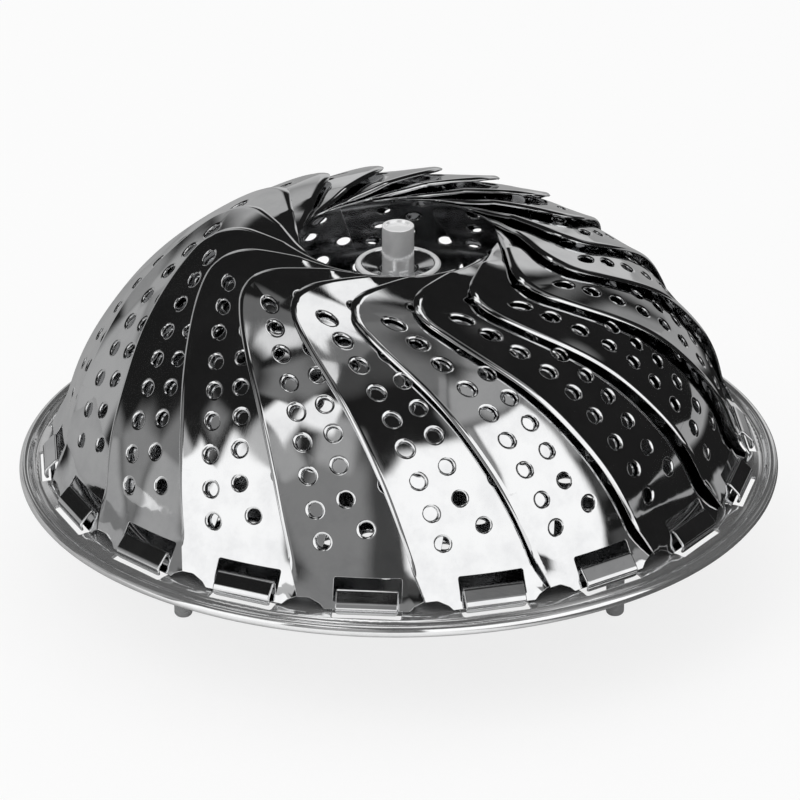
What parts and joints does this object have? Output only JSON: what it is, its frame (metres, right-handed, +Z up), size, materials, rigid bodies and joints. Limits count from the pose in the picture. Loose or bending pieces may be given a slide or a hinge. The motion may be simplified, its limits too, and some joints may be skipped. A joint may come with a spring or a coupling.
{
  "type": "folding steamer basket",
  "caption": "Folding stainless steamer basket: lapping perforated petals hinge round a footed, pierced base plate with a centre post.",
  "frame": {"origin": "centre of the circle of feet, on the surface that the basket stands on", "axes": "+Z up along the centre post; -Y faces the picture's camera"},
  "size_m": [0.16, 0.16, 0.0772],
  "materials": {
    "petal_steel": "mirror polished stainless sheet",
    "plate_steel": "polished stainless pressing",
    "post_steel": "polished turned stainless",
    "disc_steel": "mirror polished stainless",
    "fixing_steel": "plain stainless",
    "leg_steel": "polished stainless",
    "bracket_steel": "bright stainless strip",
    "pin_steel": "bright stainless wire"
  },
  "bodies": {
    "base": {"base_plate": "plate_steel", "centre_post": "post_steel", "finger_disc": "disc_steel", "post_washer": "fixing_steel", "post_nut": "fixing_steel", "leg_bracket_1": "bracket_steel", "leg_bracket_2": "bracket_steel", "leg_bracket_3": "bracket_steel", "leg_pin_1": "pin_steel", "leg_pin_2": "pin_steel", "leg_pin_3": "pin_steel"},
    "petal_01": {"petal_01": "petal_steel"},
    "petal_02": {"petal_02": "petal_steel"},
    "petal_03": {"petal_03": "petal_steel"},
    "petal_04": {"petal_04": "petal_steel"},
    "petal_05": {"petal_05": "petal_steel"},
    "petal_06": {"petal_06": "petal_steel"},
    "petal_07": {"petal_07": "petal_steel"},
    "petal_08": {"petal_08": "petal_steel"},
    "petal_09": {"petal_09": "petal_steel"},
    "petal_10": {"petal_10": "petal_steel"},
    "petal_11": {"petal_11": "petal_steel"},
    "petal_12": {"petal_12": "petal_steel"},
    "petal_13": {"petal_13": "petal_steel"},
    "petal_14": {"petal_14": "petal_steel"},
    "petal_15": {"petal_15": "petal_steel"},
    "petal_16": {"petal_16": "petal_steel"},
    "petal_17": {"petal_17": "petal_steel"},
    "petal_18": {"petal_18": "petal_steel"},
    "leg_1": {"leg_1": "leg_steel"},
    "leg_2": {"leg_2": "leg_steel"},
    "leg_3": {"leg_3": "leg_steel"}
  },
  "joints": [
    {"name": "petal_01_hinge", "type": "hinge", "parent": "base", "child": "petal_01", "pos_m": [-0.07272, -0.00636, 0.0264], "axis": [0.0872, -0.9962, 0], "range_deg": [0, 110]},
    {"name": "petal_02_hinge", "type": "hinge", "parent": "base", "child": "petal_02", "pos_m": [-0.06616, -0.03085, 0.0264], "axis": [0.4226, -0.9063, 0], "range_deg": [0, 110]},
    {"name": "petal_03_hinge", "type": "hinge", "parent": "base", "child": "petal_03", "pos_m": [-0.05162, -0.05162, 0.0264], "axis": [0.7071, -0.7071, 0], "range_deg": [0, 110]},
    {"name": "petal_04_hinge", "type": "hinge", "parent": "base", "child": "petal_04", "pos_m": [-0.03085, -0.06616, 0.0264], "axis": [0.9063, -0.4226, 0], "range_deg": [0, 110]},
    {"name": "petal_05_hinge", "type": "hinge", "parent": "base", "child": "petal_05", "pos_m": [-0.00636, -0.07272, 0.0264], "axis": [0.9962, -0.0872, 0], "range_deg": [0, 110]},
    {"name": "petal_06_hinge", "type": "hinge", "parent": "base", "child": "petal_06", "pos_m": [0.01889, -0.07051, 0.0264], "axis": [0.9659, 0.2588, 0], "range_deg": [0, 110]},
    {"name": "petal_07_hinge", "type": "hinge", "parent": "base", "child": "petal_07", "pos_m": [0.04187, -0.0598, 0.0264], "axis": [0.8192, 0.5736, 0], "range_deg": [0, 110]},
    {"name": "petal_08_hinge", "type": "hinge", "parent": "base", "child": "petal_08", "pos_m": [0.0598, -0.04187, 0.0264], "axis": [0.5736, 0.8192, 0], "range_deg": [0, 110]},
    {"name": "petal_09_hinge", "type": "hinge", "parent": "base", "child": "petal_09", "pos_m": [0.07051, -0.01889, 0.0264], "axis": [0.2588, 0.9659, 0], "range_deg": [0, 110]},
    {"name": "petal_10_hinge", "type": "hinge", "parent": "base", "child": "petal_10", "pos_m": [0.07272, 0.00636, 0.0264], "axis": [-0.0872, 0.9962, 0], "range_deg": [0, 110]},
    {"name": "petal_11_hinge", "type": "hinge", "parent": "base", "child": "petal_11", "pos_m": [0.06616, 0.03085, 0.0264], "axis": [-0.4226, 0.9063, 0], "range_deg": [0, 110]},
    {"name": "petal_12_hinge", "type": "hinge", "parent": "base", "child": "petal_12", "pos_m": [0.05162, 0.05162, 0.0264], "axis": [-0.7071, 0.7071, 0], "range_deg": [0, 110]},
    {"name": "petal_13_hinge", "type": "hinge", "parent": "base", "child": "petal_13", "pos_m": [0.03085, 0.06616, 0.0264], "axis": [-0.9063, 0.4226, 0], "range_deg": [0, 110]},
    {"name": "petal_14_hinge", "type": "hinge", "parent": "base", "child": "petal_14", "pos_m": [0.00636, 0.07272, 0.0264], "axis": [-0.9962, 0.0872, 0], "range_deg": [0, 110]},
    {"name": "petal_15_hinge", "type": "hinge", "parent": "base", "child": "petal_15", "pos_m": [-0.01889, 0.07051, 0.0264], "axis": [-0.9659, -0.2588, 0], "range_deg": [0, 110]},
    {"name": "petal_16_hinge", "type": "hinge", "parent": "base", "child": "petal_16", "pos_m": [-0.04187, 0.0598, 0.0264], "axis": [-0.8192, -0.5736, 0], "range_deg": [0, 110]},
    {"name": "petal_17_hinge", "type": "hinge", "parent": "base", "child": "petal_17", "pos_m": [-0.0598, 0.04187, 0.0264], "axis": [-0.5736, -0.8192, 0], "range_deg": [0, 110]},
    {"name": "petal_18_hinge", "type": "hinge", "parent": "base", "child": "petal_18", "pos_m": [-0.07051, 0.01889, 0.0264], "axis": [-0.2588, -0.9659, 0], "range_deg": [0, 110]},
    {"name": "leg_1_fold", "type": "hinge", "parent": "base", "child": "leg_1", "pos_m": [-0.04503, -0.026, 0.01325], "axis": [0.5, -0.866, 0], "range_deg": [0, 90]},
    {"name": "leg_2_fold", "type": "hinge", "parent": "base", "child": "leg_2", "pos_m": [0.04503, -0.026, 0.01325], "axis": [0.5, 0.866, 0], "range_deg": [0, 90]},
    {"name": "leg_3_fold", "type": "hinge", "parent": "base", "child": "leg_3", "pos_m": [0, 0.052, 0.01325], "axis": [-1, 0, 0], "range_deg": [0, 90]}
  ],
  "couplings": [
    {"joint": "petal_02_hinge", "follows": "petal_01_hinge", "ratio": 1},
    {"joint": "petal_03_hinge", "follows": "petal_01_hinge", "ratio": 1},
    {"joint": "petal_04_hinge", "follows": "petal_01_hinge", "ratio": 1},
    {"joint": "petal_05_hinge", "follows": "petal_01_hinge", "ratio": 1},
    {"joint": "petal_06_hinge", "follows": "petal_01_hinge", "ratio": 1},
    {"joint": "petal_07_hinge", "follows": "petal_01_hinge", "ratio": 1},
    {"joint": "petal_08_hinge", "follows": "petal_01_hinge", "ratio": 1},
    {"joint": "petal_09_hinge", "follows": "petal_01_hinge", "ratio": 1},
    {"joint": "petal_10_hinge", "follows": "petal_01_hinge", "ratio": 1},
    {"joint": "petal_11_hinge", "follows": "petal_01_hinge", "ratio": 1},
    {"joint": "petal_12_hinge", "follows": "petal_01_hinge", "ratio": 1},
    {"joint": "petal_13_hinge", "follows": "petal_01_hinge", "ratio": 1},
    {"joint": "petal_14_hinge", "follows": "petal_01_hinge", "ratio": 1},
    {"joint": "petal_15_hinge", "follows": "petal_01_hinge", "ratio": 1},
    {"joint": "petal_16_hinge", "follows": "petal_01_hinge", "ratio": 1},
    {"joint": "petal_17_hinge", "follows": "petal_01_hinge", "ratio": 1},
    {"joint": "petal_18_hinge", "follows": "petal_01_hinge", "ratio": 1}
  ]
}
